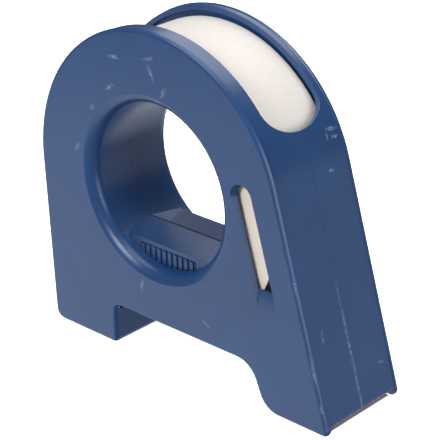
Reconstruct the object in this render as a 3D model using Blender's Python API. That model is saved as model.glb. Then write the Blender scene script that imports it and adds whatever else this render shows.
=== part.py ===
"""Hand-held masking tape dispenser.

Two half shells meet at the middle plane, round a grip tube that carries the tape roll. The tape runs
down inside the sloped front, round a pressure roller and out below a serrated blade. A ribbed button in
the grip hole spreads two jaws and lets the near shell come off.

Frame: metres, Z up, ground at zero, near side towards -Y, front leg towards +X, origin at the middle of
the footprint.
"""
import math

import bmesh
import bpy
from mathutils import Matrix, Vector

MM = 0.001

# Room left between pieces
GAP = 0.3 * MM
RUNNING_GAP = 0.2 * MM
OVERRUN = 1.0 * MM
LAP = 0.15 * MM

# Housing outline, seen from the side, with places counted from the hub axis and the ground
ARCH_RADIUS = 64.0 * MM
TOE_REACH = 87.55 * MM
FOOT_LENGTH = 39.1 * MM
NOTCH_HEIGHT = 18.0 * MM
LEG_LENGTH = 31.65 * MM
RISER_LEAN = 7.1 * MM
BACK_LEAN = math.radians(1.8)
HEEL_ROUND = 4.4 * MM
FOOT_ROUND = 2.2 * MM
NOTCH_ROUND = 3.0 * MM
RISER_ROUND = 10.0 * MM
TOE_ROUND = 2.0 * MM

# Housing, across
HALF_WIDTH = 22.0 * MM
WALL = 2.4 * MM
EDGE_ROUND = 1.6 * MM
BEAD_OFFSET = 0.4 * MM
BEAD_SLOPE = 0.2 * MM
BEAD_STEP = 0.35 * MM

# Grip tube
HOLE_RADIUS = 34.5 * MM
FLARE_ROUND = 5.6 * MM
TUBE_WALL = 1.7 * MM
TUBE_ROOT_ROUND = 2.3 * MM

# Opening over the roll, which leaves a broader rim on the near shell
OPENING_NEAR_MARGIN = 8.5 * MM
OPENING_FAR_MARGIN = 4.9 * MM
OPENING_LIP = 0.25 * MM
OPENING_END = 11.2 * MM
OPENING_FRONT = math.radians(30.4)
OPENING_BACK = math.radians(150.0)

# View slot in the near panel, set back from the sloped front, with lengths counted from the hub axis
SLOT_SETBACK = 16.8 * MM
SLOT_BACK = 4.2 * MM
SLOT_BACK_SLOPE = 1.5 * MM
SLOT_FRONT = 4.5 * MM
SLOT_FRONT_SLOPE = 0.4 * MM
SLOT_RISE = 1.7 * MM
SLOT_TOP_SLOPE = 1.2 * MM
SLOT_FALL = 37.9 * MM
SLOT_RAMP = 8.6 * MM

# Tape exit, and the window below the roll
EXIT_HEIGHT = 3.3 * MM
EXIT_ROUND = 3.0 * MM
EXIT_MARGIN = 0.3 * MM
EXIT_LENGTH = 24.05 * MM
WINDOW_CLEARANCE = 1.4 * MM

# Grip block at the bottom of the grip hole, with drops counted from the hub axis
BLOCK_HALF = 15.0 * MM
BLOCK_RIDGE_DROP = 24.25 * MM
BLOCK_EDGE_FALL = 1.9 * MM
BLOCK_SKIN = 1.6 * MM
POCKET_HALF = 17.6 * MM

# Latch button
BUTTON_HALF = 14.8 * MM
BUTTON_BAND = 2.1 * MM
FLANGE_LIP = 1.5 * MM
FLANGE_THICKNESS = 1.0 * MM
BUTTON_TRAVEL = 2.5 * MM
RIB_PITCH = 2.95 * MM
RIB_WIDTH = 1.5 * MM
RIB_PROUD = 0.6 * MM
RIB_COUNT = 10
STEM_SIZE = 2.8 * MM
STEM_DROP = 31.2 * MM
TIP_WIDTH = 1.8 * MM
TIP_LEAD = 1.3 * MM
WEDGE_LENGTH = 1.15 * MM

# Latch spring and its seat
SPRING_RADIUS = 2.6 * MM
SPRING_WIRE = 0.25 * MM
SPRING_TURNS = 4.5
SPRING_PRESSED = 3.2 * MM
SEAT_WALL = 1.2 * MM

# Latch jaws, with places counted from their pins
PIN_RADIUS = 0.8 * MM
PIN_SPREAD = 4.6 * MM
PIN_SEAT = 0.9 * MM
PIN_SETBACK = 2.4 * MM
JAW_BOSS = 1.9 * MM
JAW_HEIGHT = 2.8 * MM
JAW_INSIDE = 1.4 * MM
JAW_OUTSIDE = 0.8 * MM
CAM_START = 2.7 * MM
CAM_LENGTH = 1.4 * MM
CAM_REACH = 3.4 * MM
NOSE_START = 9.0 * MM
NOSE_LENGTH = 1.2 * MM
NOSE_SLOPE = 0.4 * MM
JAW_TAIL = 0.2 * MM

# Latch post of the far shell
POST_WIDTH = 3.8 * MM
POST_HEIGHT = 3.4 * MM
POST_TIP = 2.2 * MM
GROOVE_DEPTH = 0.35 * MM
NOSE_CLEARANCE = 0.05 * MM

# Alignment bosses and pegs
BOSS_RADIUS = 3.6 * MM
PEG_RADIUS = 2.0 * MM
PEG_LENGTH = 6.0 * MM
PEG_CHAMFER = 0.5 * MM
FOOT_BOSS_INSET = 12.0 * MM
FOOT_BOSS_HEIGHT = 11.0 * MM
LEG_BOSS_INSET = 5.1 * MM
LEG_BOSS_HEIGHT = 18.0 * MM

# Tape roll and what carries it
ROLL_CLEARANCE = 2.4 * MM
ROLL_DIP = 2.0 * MM
ROLL_SIDE_GAP = 1.6 * MM
CORE_BORE = 38.1 * MM
CORE_WALL = 2.5 * MM
HUB_CLEARANCE = 0.4 * MM
HUB_WALL = 0.8 * MM
HUB_RIBS = 8
HUB_RIB_SHARE = 0.1
HUB_SHORT = 1.6 * MM

# Drag spring on the grip tube
DRAG_LENGTH = 10.0 * MM
DRAG_WIDTH = 7.4 * MM
DRAG_THICKNESS = 0.3 * MM
DRAG_BOW = 0.35 * MM
DRAG_SETBACK = 9.6 * MM
DRAG_RISE = 0.1 * MM
DRAG_POCKET = 0.85 * MM

# Pressure roller
ROLLER_RADIUS = 4.2 * MM
ROLLER_SETBACK = 10.6 * MM
ROLLER_LIFT = 0.7 * MM
ROLLER_FLANGE = 3.6 * MM
FLANGE_WIDTH = 1.2 * MM
ROLLER_CORE = 2.7 * MM
ROLLER_END_GAP = 0.7 * MM
AXLE_RADIUS = 1.5 * MM
AXLE_SEAT = 1.2 * MM
AXLE_CHAMFER = 0.3 * MM

# Tape strip between the roll and the cutter
LEADER_THICKNESS = 0.3 * MM
LEADER_TAIL = 9.6 * MM
LEADER_HUG = math.radians(8.0)

# Cutter, with places counted along and across the sloped front, from the toe
BLADE_THICKNESS = 0.4 * MM
BLADE_SHORT = 6.0 * MM
BLADE_HEIGHT = 9.0 * MM
BLADE_LIFT = 1.9 * MM
TOOTH_PITCH = 1.6 * MM
TOOTH_DEPTH = 1.2 * MM
STUD_RADIUS = 1.2 * MM
STUD_SPREAD = 9.0 * MM
HOLDER_THICKNESS = 2.0 * MM
HOLDER_LIFT = 4.5 * MM
HOLDER_HEIGHT = 7.0 * MM
BRACKET_THICKNESS = 3.0 * MM
BRACKET_DEPTH = 7.2 * MM
BRACKET_STEP = 2.6 * MM
BRACKET_HEIGHT = 15.6 * MM
SCREW_BOSS_HEIGHT = 7.0 * MM
SCREW_BOSS_RADIUS = 3.0 * MM
SCREW_RADIUS = 0.9 * MM
SCREW_LENGTH = 8.2 * MM
SCREW_HEAD_RADIUS = 2.1 * MM
SCREW_HEAD = 1.4 * MM
SCREW_SLOT_WIDTH = 0.6 * MM
SCREW_SLOT_DEPTH = 0.7 * MM

# Fineness of round shapes, in steps
ARCH_STEPS = 44
CORNER_STEPS = 4
OPENING_STEPS = 9
RISER_STEPS = 6
ROUND_STEPS = 3
TUBE_STEPS = 60
ROLL_STEPS = 72
SMALL_STEPS = 16
SPRING_STEPS = 12
LEAST_ROUND_SHARE = 0.15
SMOOTH_ANGLE = math.radians(32.0)

# Finishes: linear colour, roughness, metallic
BLUE_PLASTIC = ((0.035, 0.075, 0.2), 0.5, 0.0)
DARK_PLASTIC = ((0.02, 0.022, 0.028), 0.55, 0.0)
GREY_PLASTIC = ((0.35, 0.36, 0.38), 0.5, 0.0)
TAPE_PAPER = ((0.86, 0.8, 0.72), 0.75, 0.0)
CORE_BOARD = ((0.42, 0.31, 0.2), 0.85, 0.0)
RUBBER = ((0.05, 0.05, 0.052), 0.8, 0.0)
STEEL = ((0.6, 0.61, 0.63), 0.3, 1.0)

# Directions
ACROSS = Vector((0.0, 1.0, 0.0))
UPRIGHT = Vector((0.0, 0.0, 1.0))

# Sizes and places that follow from the sizes above
ROLL_RADIUS = ARCH_RADIUS - WALL - ROLL_CLEARANCE
HUB_HEIGHT = NOTCH_HEIGHT + ROLL_RADIUS - ROLL_DIP
INNER_HALF = HALF_WIDTH - WALL
TAPE_WIDTH = 2.0 * (INNER_HALF - ROLL_SIDE_GAP)
BLADE_LENGTH = TAPE_WIDTH - BLADE_SHORT
EXIT_HALF_WIDTH = INNER_HALF - EXIT_MARGIN
DRAG_PLACE = INNER_HALF - DRAG_SETBACK
LEG_START = TOE_REACH - LEG_LENGTH
EXIT_BACK = TOE_REACH - EXIT_LENGTH
SLOT_REACH = ARCH_RADIUS - SLOT_SETBACK
WINDOW_HALF_LENGTH = math.sqrt((ROLL_RADIUS + WINDOW_CLEARANCE) ** 2
                               - (HUB_HEIGHT - NOTCH_HEIGHT - WALL) ** 2)
SLOPE_TILT = (math.atan2(HUB_HEIGHT, -TOE_REACH)
              - math.asin(ARCH_RADIUS / math.hypot(TOE_REACH, HUB_HEIGHT)))
SLOPE_UP = Vector((math.cos(SLOPE_TILT), 0.0, math.sin(SLOPE_TILT)))
SLOPE_IN = Vector((-math.sin(SLOPE_TILT), 0.0, math.cos(SLOPE_TILT)))
TOE_EXTREME = TOE_REACH + TOE_ROUND * (1.0 + SLOPE_IN.x / (1.0 + SLOPE_IN.z))
HUB = Vector(((ARCH_RADIUS - TOE_EXTREME) / 2.0, 0.0, HUB_HEIGHT))
TOE = Vector((HUB.x + TOE_REACH, 0.0, 0.0))
TUBE_OUTER = HOLE_RADIUS + TUBE_WALL
PARTING = GAP / 2.0
FLANGE_BACK = BLOCK_HALF - BLOCK_SKIN - GAP - FLANGE_THICKNESS
SEAT_OUTSIDE = FLANGE_BACK - BUTTON_TRAVEL - SPRING_PRESSED
SEAT_INSIDE = SEAT_OUTSIDE - SEAT_WALL
PIN_DEPTH = SEAT_INSIDE - PIN_SETBACK
NOSE_PLACE = NOSE_START + NOSE_LENGTH / 2.0 - PIN_DEPTH
HOLDER_IN = WALL + GAP + BLADE_THICKNESS + GAP
SCREW_IN = HOLDER_IN + BRACKET_DEPTH / 2.0
BRACKET_LOW = HOLDER_LIFT + HOLDER_HEIGHT + BRACKET_STEP
SCREW_LIFTS = (BRACKET_LOW + SCREW_BOSS_RADIUS, BRACKET_LOW + BRACKET_HEIGHT - SCREW_BOSS_RADIUS)
SCREW_SEAT = INNER_HALF - SCREW_BOSS_HEIGHT - GAP


def on_slope(depth, lift, across=0.0):
    """Point behind the sloped front: depth below its surface, lift along it from the toe."""
    place = TOE + SLOPE_IN * depth + SLOPE_UP * lift
    place.y = across
    return place


def behind_slope(a, b, c):
    """Outline across and up the sloped front, drawn out into the housing."""
    return on_slope(c, b, a)


def roller_centre():
    """Point on the axis of the pressure roller."""
    height = ROLLER_LIFT + ROLLER_RADIUS
    lift = (height - SLOPE_IN.z * ROLLER_SETBACK) / SLOPE_UP.z
    return on_slope(ROLLER_SETBACK, lift)


def along_y(a, b, c):
    """Side view outline counted from the hub axis and the ground, drawn out across the housing."""
    return Vector((HUB.x + a, c, b))


def along_z(a, b, c):
    """Plan outline counted from the hub axis, drawn out upwards from it."""
    return Vector((HUB.x + a, b, HUB.z + c))


def along_x(a, b, c):
    """Front view outline counted from the ground, drawn out lengthwise from the hub axis."""
    return Vector((HUB.x + c, a, b))


def arc(centre_a, centre_b, radius, start, end, steps):
    """Points of a round stretch, angles in degrees."""
    angles = [math.radians(start + (end - start) * k / steps) for k in range(steps + 1)]
    return [(centre_a + radius * math.cos(t), centre_b + radius * math.sin(t)) for t in angles]


def make_material(name, finish):
    """Plain surface in one colour."""
    colour, roughness, metallic = finish
    material = bpy.data.materials.new(name)
    material.use_nodes = True
    shader = material.node_tree.nodes["Principled BSDF"]
    shader.inputs["Base Color"].default_value = (*colour, 1.0)
    shader.inputs["Roughness"].default_value = roughness
    shader.inputs["Metallic"].default_value = metallic
    return material


def finish_object(name, shape, finish=None):
    """Turn a closed bmesh into an object: a piece with its own material, or a hidden cutter."""
    bmesh.ops.recalc_face_normals(shape, faces=shape.faces)
    mesh = bpy.data.meshes.new(name)
    shape.to_mesh(mesh)
    shape.free()
    mesh.shade_smooth()
    mesh.set_sharp_from_angle(angle=SMOOTH_ANGLE)
    thing = bpy.data.objects.new(name, mesh)
    bpy.context.scene.collection.objects.link(thing)
    if finish is None:
        thing.hide_render = True
        thing.display_type = 'WIRE'
    else:
        mesh.materials.append(make_material(name, finish))
    return thing


def loft(name, rings, finish=None):
    """Closed solid through rings that have the same number of points."""
    shape = bmesh.new()
    loops = [[shape.verts.new(point) for point in ring] for ring in rings]
    count = len(loops[0])
    for low, high in zip(loops, loops[1:]):
        for k in range(count):
            after = (k + 1) % count
            shape.faces.new((low[k], low[after], high[after], high[k]))
    shape.faces.new(loops[0])
    shape.faces.new(loops[-1])
    return finish_object(name, shape, finish)


def drawn_out(name, outline, place, start, end, finish=None):
    """Outline drawn out from start to end."""
    return loft(name, [[place(a, b, c) for a, b in outline] for c in (start, end)], finish)


def turned(name, profile, centre, steps, finish=None, axis=ACROSS):
    """Profile of (radius, place along the axis) spun round an axis through the centre."""
    shape = bmesh.new()
    chain = [shape.verts.new(centre + Vector((radius, 0.0, 0.0)) + axis * up) for radius, up in profile]
    closed = profile[0][0] > 0.0
    edges = [shape.edges.new(pair) for pair in zip(chain, chain[1:])]
    if closed:
        edges.append(shape.edges.new((chain[-1], chain[0])))
    bmesh.ops.spin(shape, geom=chain + edges, cent=centre, axis=axis, angle=math.tau, steps=steps,
                   use_merge=True)
    if not closed:
        on_axis = [v for v in shape.verts if (v.co - centre).cross(axis).length < LAP * LEAST_ROUND_SHARE]
        bmesh.ops.remove_doubles(shape, verts=on_axis, dist=LAP * LEAST_ROUND_SHARE)
    return finish_object(name, shape, finish)


def rod(name, radius, start, end, centre, steps, finish=None, axis=ACROSS):
    """Round bar between two places along an axis."""
    profile = [(0.0, start), (radius, start), (radius, end), (0.0, end)]
    return turned(name, profile, centre, steps, finish, axis)


def tube(name, inner, outer, half_length, centre, steps, finish):
    """Plain sleeve, centred on the middle plane."""
    profile = [(inner, -half_length), (outer, -half_length), (outer, half_length), (inner, half_length)]
    return turned(name, profile, centre, steps, finish)


def combine(target, other, operation):
    """Boolean of one solid with another."""
    step = target.modifiers.new(other.name, 'BOOLEAN')
    step.operation = operation
    step.solver = 'EXACT'
    step.object = other
    other.hide_render = True
    other.display_type = 'WIRE'


def cut(target, *cutters):
    """Take the cutters away from the target."""
    for cutter in cutters:
        combine(target, cutter, 'DIFFERENCE')


def move_origin(thing, point):
    """Put an object's origin on its joint's axis without moving its shape."""
    thing.data.transform(Matrix.Translation(-point))
    thing.location = point


def side_corners():
    """Corners of the side view, anticlockwise from the heel.

    Each has its place, its round, the round's steps and whether the beaded edge starts there.
    """
    heel = (HUB_HEIGHT * math.sin(BACK_LEAN) - ARCH_RADIUS) / math.cos(BACK_LEAN)
    foot_end = FOOT_LENGTH - ARCH_RADIUS
    back_up = Vector((-math.sin(BACK_LEAN), 0.0, math.cos(BACK_LEAN)))
    crest = back_up * (TOE_REACH - heel) * SLOPE_IN.x / back_up.dot(SLOPE_IN)
    return [(heel, 0.0, HEEL_ROUND, CORNER_STEPS, False),
            (foot_end, 0.0, FOOT_ROUND, CORNER_STEPS, False),
            (foot_end, NOTCH_HEIGHT, NOTCH_ROUND, CORNER_STEPS, False),
            (LEG_START - RISER_LEAN, NOTCH_HEIGHT, RISER_ROUND, RISER_STEPS, False),
            (LEG_START, 0.0, RISER_ROUND, RISER_STEPS, False),
            (TOE_REACH, 0.0, TOE_ROUND, CORNER_STEPS, True),
            (heel + crest.x, crest.z, ARCH_RADIUS, ARCH_STEPS, True)]


def side_outline(inset, bead=0.0):
    """Side view moved inwards by an inset, and the beaded edges by the bead as well."""
    corners = side_corners()
    points = []
    for k, (x, z, radius, steps, beaded) in enumerate(corners):
        before = corners[k - 1]
        after = corners[(k + 1) % len(corners)]
        here = Vector((x, z))
        coming = (here - Vector(before[:2])).normalized()
        going = (Vector(after[:2]) - here).normalized()
        inward_coming = Vector((-coming.y, coming.x))
        inward_going = Vector((-going.y, going.x))
        shift_coming = inset + (bead if before[4] else 0.0)
        shift_going = inset + (bead if beaded else 0.0)
        lean = inward_coming.dot(inward_going)
        turn_side = math.copysign(1.0, coming.x * going.y - coming.y * going.x)
        corner = here + ((shift_coming - lean * shift_going) * inward_coming
                         + (shift_going - lean * shift_coming) * inward_going) / (1.0 - lean * lean)
        round_off = radius - turn_side * (shift_coming + shift_going) / 2.0
        round_off = max(round_off, radius * LEAST_ROUND_SHARE)
        turn = math.acos(lean)
        start = corner - coming * round_off * math.tan(turn / 2.0)
        centre = start + inward_coming * round_off * turn_side
        first = math.degrees(math.atan2(start.y - centre.y, start.x - centre.x))
        points += arc(centre.x, centre.y, round_off, first, first + math.degrees(turn) * turn_side, steps)
    return points


def edge_profile():
    """Rings from a panel's face to the middle plane: depth below the face, inset and bead."""
    rings = []
    for depth, inset in arc(EDGE_ROUND, EDGE_ROUND, EDGE_ROUND, 180.0, 270.0, ROUND_STEPS):
        rings.append((depth, inset, 0.0))
    bead_depth = EDGE_ROUND + BEAD_OFFSET
    rings.append((bead_depth, 0.0, 0.0))
    rings.append((bead_depth + BEAD_SLOPE, 0.0, BEAD_STEP))
    rings.append((HALF_WIDTH - PARTING, 0.0, BEAD_STEP))
    return rings


def tube_plug(label, side):
    """Grip tube without its bore, with the round at its root."""
    root = arc(TUBE_OUTER + TUBE_ROOT_ROUND, INNER_HALF - TUBE_ROOT_ROUND + LAP, TUBE_ROOT_ROUND,
               180.0, 90.0, ROUND_STEPS)
    top = INNER_HALF + OVERRUN
    profile = [(0.0, -top), (TUBE_OUTER, -top)] + root + [(TUBE_OUTER + TUBE_ROOT_ROUND, top), (0.0, top)]
    return turned(label + "_plug", [(r, side * h) for r, h in profile], HUB, TUBE_STEPS)


def boss_places():
    """Side view places of the alignment bosses, and the name of each."""
    return (("foot", HUB.x - ARCH_RADIUS + FOOT_BOSS_INSET, FOOT_BOSS_HEIGHT),
            ("leg", HUB.x + LEG_START + LEG_BOSS_INSET, LEG_BOSS_HEIGHT))


def cavity(label, side):
    """Space inside a half shell, which leaves the walls, the grip tube and the alignment bosses."""
    outline = side_outline(WALL)
    space = drawn_out(label + "_cavity", outline, along_y, side * INNER_HALF, -side * OVERRUN)
    cut(space, tube_plug(label, side))
    for name, x, z in boss_places():
        cut(space, rod(f"{label}_{name}_boss", BOSS_RADIUS, -side * (OVERRUN + LAP),
                       side * (INNER_HALF + OVERRUN), Vector((x, 0.0, z)), SMALL_STEPS))
    return space


def block_drop(depth):
    """How far the block's top lies below the hub axis, at a distance from the middle plane."""
    return BLOCK_RIDGE_DROP + BLOCK_EDGE_FALL * depth / BLOCK_HALF


def block_wedge(name, side, start, end, half_length, sink):
    """Bar with the block's sloped top lowered by sink, between two distances from the middle plane."""
    floor = HUB.z - HOLE_RADIUS - FLARE_ROUND
    outline = [(side * start, HUB.z - block_drop(max(start, 0.0)) - sink),
               (side * end, HUB.z - block_drop(end) - sink), (side * end, floor), (side * start, floor)]
    return drawn_out(name, outline, along_x, -half_length, half_length)


def grip_hole(label, side):
    """Bore of the grip tube with its flared mouth, which leaves the grip block."""
    flare = arc(HOLE_RADIUS + FLARE_ROUND, HALF_WIDTH - FLARE_ROUND + LAP, FLARE_ROUND,
                180.0, 90.0, 2 * ROUND_STEPS)
    top = HALF_WIDTH + OVERRUN
    profile = ([(0.0, -OVERRUN), (HOLE_RADIUS, -OVERRUN)] + flare
               + [(HOLE_RADIUS + FLARE_ROUND, top), (0.0, top)])
    bore = turned(label + "_bore", [(r, side * h) for r, h in profile], HUB, TUBE_STEPS)
    reach = HOLE_RADIUS + FLARE_ROUND + OVERRUN
    cut(bore, block_wedge(label + "_block", side, -OVERRUN - LAP, BLOCK_HALF, reach, 0.0))
    return bore


def pocket(name, side, start, end):
    """Hollow in the grip block, down to the grip tube's wall."""
    hollow = block_wedge(name, side, start, end, POCKET_HALF, BLOCK_SKIN)
    combine(hollow, rod(name + "_floor", HOLE_RADIUS, -HALF_WIDTH, HALF_WIDTH, HUB, TUBE_STEPS), 'INTERSECT')
    return hollow


def roll_opening(label):
    """Long round-ended opening in the arch, with a narrow chamfer round its lip."""
    swing = OPENING_END / ARCH_RADIUS
    front = OPENING_FRONT + swing
    back = OPENING_BACK - swing
    quarter = [math.pi / 2.0 * (k + 0.5) / OPENING_STEPS for k in range(OPENING_STEPS)]
    stations = [(front - swing * math.cos(t), math.sin(t)) for t in quarter]
    straight = ARCH_STEPS // 2
    stations += [(front + (back - front) * k / straight, 1.0) for k in range(straight + 1)]
    stations += [(back + swing * math.cos(t), math.sin(t)) for t in reversed(quarter)]
    middle = (OPENING_NEAR_MARGIN - OPENING_FAR_MARGIN) / 2.0
    half_width = HALF_WIDTH - (OPENING_NEAR_MARGIN + OPENING_FAR_MARGIN) / 2.0
    inside = ARCH_RADIUS - WALL - OVERRUN
    lip = ARCH_RADIUS - BEAD_STEP - OPENING_LIP
    outside = ARCH_RADIUS + OVERRUN
    rings = []
    for angle, share in stations:
        width = half_width * share
        wide = width + outside - lip
        section = [(inside, -width), (inside, width), (lip, width), (outside, wide), (outside, -wide),
                   (lip, -width)]
        spoke = Vector((math.cos(angle), 0.0, math.sin(angle)))
        rings.append([HUB + spoke * r + ACROSS * (middle + h) for r, h in section])
    return loft(label + "_roll_opening", rings)


def tape_exit(label, side):
    """Mouth below the sloped front, with round top corners."""
    corner = arc(EXIT_HALF_WIDTH - EXIT_ROUND, EXIT_HEIGHT - EXIT_ROUND, EXIT_ROUND, 0.0, 90.0, CORNER_STEPS)
    outline = [(-OVERRUN, -OVERRUN), (EXIT_HALF_WIDTH, -OVERRUN)] + corner + [(-OVERRUN, EXIT_HEIGHT)]
    outline = [(side * h, z) for h, z in outline]
    back = TOE_REACH - 2.0 * WALL - OVERRUN
    return drawn_out(label + "_exit", outline, along_x, back, TOE_REACH + OVERRUN)


def floor_gap(label, side, low, height, start, end):
    """Square gap through a level floor wall."""
    high = height + WALL + OVERRUN
    outline = [(-side * OVERRUN, low), (side * EXIT_HALF_WIDTH, low), (side * EXIT_HALF_WIDTH, high),
               (-side * OVERRUN, high)]
    return drawn_out(label + "_gap", outline, along_x, start, end)


def leg_gap(label, side):
    """Gap in the leg's underside, below the roller."""
    return floor_gap(label + "_leg", side, -OVERRUN, 0.0, EXIT_BACK, TOE_REACH - 2.0 * WALL)


def roll_window(label, side):
    """Gap in the underside that gives the full roll room above the notch."""
    return floor_gap(label + "_roll", side, NOTCH_HEIGHT - NOTCH_ROUND, NOTCH_HEIGHT, -WINDOW_HALF_LENGTH,
                     WINDOW_HALF_LENGTH)


def axle_seat(label, side):
    """Blind seat for the end of the roller's axle."""
    return rod(label + "_axle_seat", AXLE_RADIUS + RUNNING_GAP, side * (INNER_HALF - OVERRUN),
               side * (INNER_HALF + AXLE_SEAT), roller_centre(), SMALL_STEPS)


def half_shell(name, side):
    """Panel, half of the perimeter wall and half of the grip tube and block."""
    rings = []
    for depth, inset, bead in edge_profile():
        y = side * (HALF_WIDTH - depth)
        rings.append([along_y(a, b, y) for a, b in side_outline(inset, bead)])
    shell = loft(name, rings, BLUE_PLASTIC)
    return shell


def slot_ring(back, front, rise, fall, y):
    """Slot outline along the sloped front: round at the top, level at the bottom."""
    round_off = (back + front) / 2.0
    outline = arc((front - back) / 2.0, rise - round_off, round_off, 0.0, 180.0, SMALL_STEPS)
    level = fall - (back + front) * SLOPE_UP.x / SLOPE_UP.z
    outline += [(-back, -fall), (front, -level)]
    ring = [HUB - SLOPE_IN * (SLOT_REACH + a) + SLOPE_UP * b for a, b in outline]
    return [Vector((point.x, y, point.z)) for point in ring]


def view_slot(label):
    """Slanted slot that shows how much tape is left, with sloped sides and a ramp at the bottom."""
    inner = (SLOT_BACK, SLOT_FRONT, SLOT_RISE, SLOT_FALL)
    outer = (SLOT_BACK + SLOT_BACK_SLOPE, SLOT_FRONT + SLOT_FRONT_SLOPE, SLOT_RISE + SLOT_TOP_SLOPE,
             SLOT_FALL + SLOT_RAMP)
    rings = [slot_ring(*outer, -HALF_WIDTH - OVERRUN), slot_ring(*outer, -HALF_WIDTH),
             slot_ring(*inner, -INNER_HALF), slot_ring(*inner, -INNER_HALF + OVERRUN)]
    return loft(label + "_view_slot", rings)


def pin_place(mirror):
    """Foot of a jaw pin's axis, level with the hub."""
    return Vector((HUB.x + mirror * PIN_SPREAD, -PIN_DEPTH, HUB.z))


def pin_span(extra):
    """Lower and upper end of a jaw pin, counted from the hub axis, each with some extra."""
    low = -math.sqrt(HOLE_RADIUS ** 2 - PIN_SPREAD ** 2) - PIN_SEAT
    high = -block_drop(PIN_DEPTH) - BLOCK_SKIN + PIN_SEAT
    return low - extra, high + extra


def near_shell():
    """Half shell with the view slot, the button's window, the latch's seats and the sockets."""
    label = "near"
    shell = half_shell("near_shell", -1)
    cut(shell, cavity(label, -1), grip_hole(label, -1), roll_opening(label), tape_exit(label, -1),
        leg_gap(label, -1), roll_window(label, -1), axle_seat(label, -1), view_slot(label))
    cut(shell, pocket("near_button_pocket", -1, SEAT_OUTSIDE, BLOCK_HALF - BLOCK_SKIN))
    cut(shell, pocket("near_jaw_pocket", -1, -OVERRUN, SEAT_INSIDE))
    half = BUTTON_HALF + GAP
    top = GAP - BUTTON_BAND - block_drop(BLOCK_HALF)
    outline = [(-half, top), (-half, -HOLE_RADIUS - OVERRUN), (half, -HOLE_RADIUS - OVERRUN), (half, top)]
    window = drawn_out("near_button_window", [(a, HUB.z + b) for a, b in outline], along_y,
                       -BLOCK_HALF - OVERRUN, -FLANGE_BACK)
    floor = rod("near_window_floor", HOLE_RADIUS - LAP, -HALF_WIDTH, HALF_WIDTH, HUB, TUBE_STEPS)
    combine(window, floor, 'INTERSECT')
    cut(shell, window)
    half = STEM_SIZE / 2.0 + GAP
    low = HUB.z - STEM_DROP
    outline = [(-half, low - half), (half, low - half), (half, low + half), (-half, low + half)]
    cut(shell, drawn_out("near_stem_hole", outline, along_y, -SEAT_OUTSIDE - OVERRUN, OVERRUN - SEAT_INSIDE))
    for word, mirror in (("left", -1), ("right", 1)):
        start, end = pin_span(GAP)
        cut(shell, rod(f"near_{word}_pin_hole", PIN_RADIUS + RUNNING_GAP, start, end, pin_place(mirror),
                       SMALL_STEPS, axis=UPRIGHT))
    for word, x, z in boss_places():
        cut(shell, rod(f"near_{word}_socket", PEG_RADIUS + RUNNING_GAP, OVERRUN, -PEG_LENGTH - GAP,
                       Vector((x, 0.0, z)), SMALL_STEPS))
    return shell


def post_groove(mirror):
    """Shallow groove in a flank of the latch post, where a jaw's nose rests."""
    half = NOSE_LENGTH / 2.0 + NOSE_SLOPE + GAP
    narrow = half - GROOVE_DEPTH
    wide = half + POST_WIDTH / 2.0
    bottom = mirror * (POST_WIDTH / 2.0 - GROOVE_DEPTH)
    outside = mirror * POST_WIDTH
    outline = [(bottom, NOSE_PLACE - narrow), (outside, NOSE_PLACE - wide), (outside, NOSE_PLACE + wide),
               (bottom, NOSE_PLACE + narrow)]
    return drawn_out(f"far_groove_{mirror}", outline, along_z, -STEM_DROP - POST_HEIGHT,
                     POST_HEIGHT - STEM_DROP)


def far_shell():
    """Half shell with the latch post, the alignment pegs and the cutter's screw bosses."""
    label = "far"
    shell = half_shell("far_shell", 1)
    space = cavity(label, 1)
    pilot = SCREW_RADIUS + RUNNING_GAP
    pilot_end = SCREW_SEAT - BRACKET_THICKNESS + SCREW_LENGTH
    face = INNER_HALF - SCREW_BOSS_HEIGHT
    root = INNER_HALF + OVERRUN
    profile = [(0.0, pilot_end), (pilot, pilot_end), (pilot, face), (SCREW_BOSS_RADIUS, face),
               (SCREW_BOSS_RADIUS, root), (0.0, root)]
    for k, lift in enumerate(SCREW_LIFTS):
        cut(space, turned(f"far_screw_boss_{k}", profile, on_slope(SCREW_IN, lift), SMALL_STEPS))
    cut(shell, space, grip_hole(label, 1), roll_opening(label), tape_exit(label, 1), leg_gap(label, 1),
        roll_window(label, 1), axle_seat(label, 1))
    hollow = pocket("far_pocket", 1, -OVERRUN, BLOCK_HALF - BLOCK_SKIN)
    half = POST_WIDTH / 2.0
    outline = [(-half, NOSE_PLACE - POST_TIP), (half, NOSE_PLACE - POST_TIP), (half, BLOCK_HALF),
               (-half, BLOCK_HALF)]
    low = -STEM_DROP - POST_HEIGHT / 2.0
    cut(hollow, drawn_out("far_post", outline, along_z, low, low + POST_HEIGHT))
    cut(shell, hollow, post_groove(-1), post_groove(1))
    for word, x, z in boss_places():
        root = PEG_LENGTH / 2.0
        profile = [(0.0, root), (PEG_RADIUS, root), (PEG_RADIUS, PEG_CHAMFER - PEG_LENGTH),
                   (PEG_RADIUS - PEG_CHAMFER, -PEG_LENGTH), (0.0, -PEG_LENGTH)]
        combine(shell, turned(f"far_{word}_peg", profile, Vector((x, 0.0, z)), SMALL_STEPS), 'UNION')
    half = DRAG_LENGTH / 2.0 + GAP
    floor = TUBE_OUTER - DRAG_POCKET
    side = DRAG_WIDTH / 2.0 + GAP
    outline = [(-half, DRAG_PLACE - side), (half, DRAG_PLACE - side), (half, DRAG_PLACE + side),
               (-half, DRAG_PLACE + side)]
    cut(shell, drawn_out("far_drag_pocket", outline, along_z, floor, TUBE_OUTER + OVERRUN))
    return shell


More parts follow.
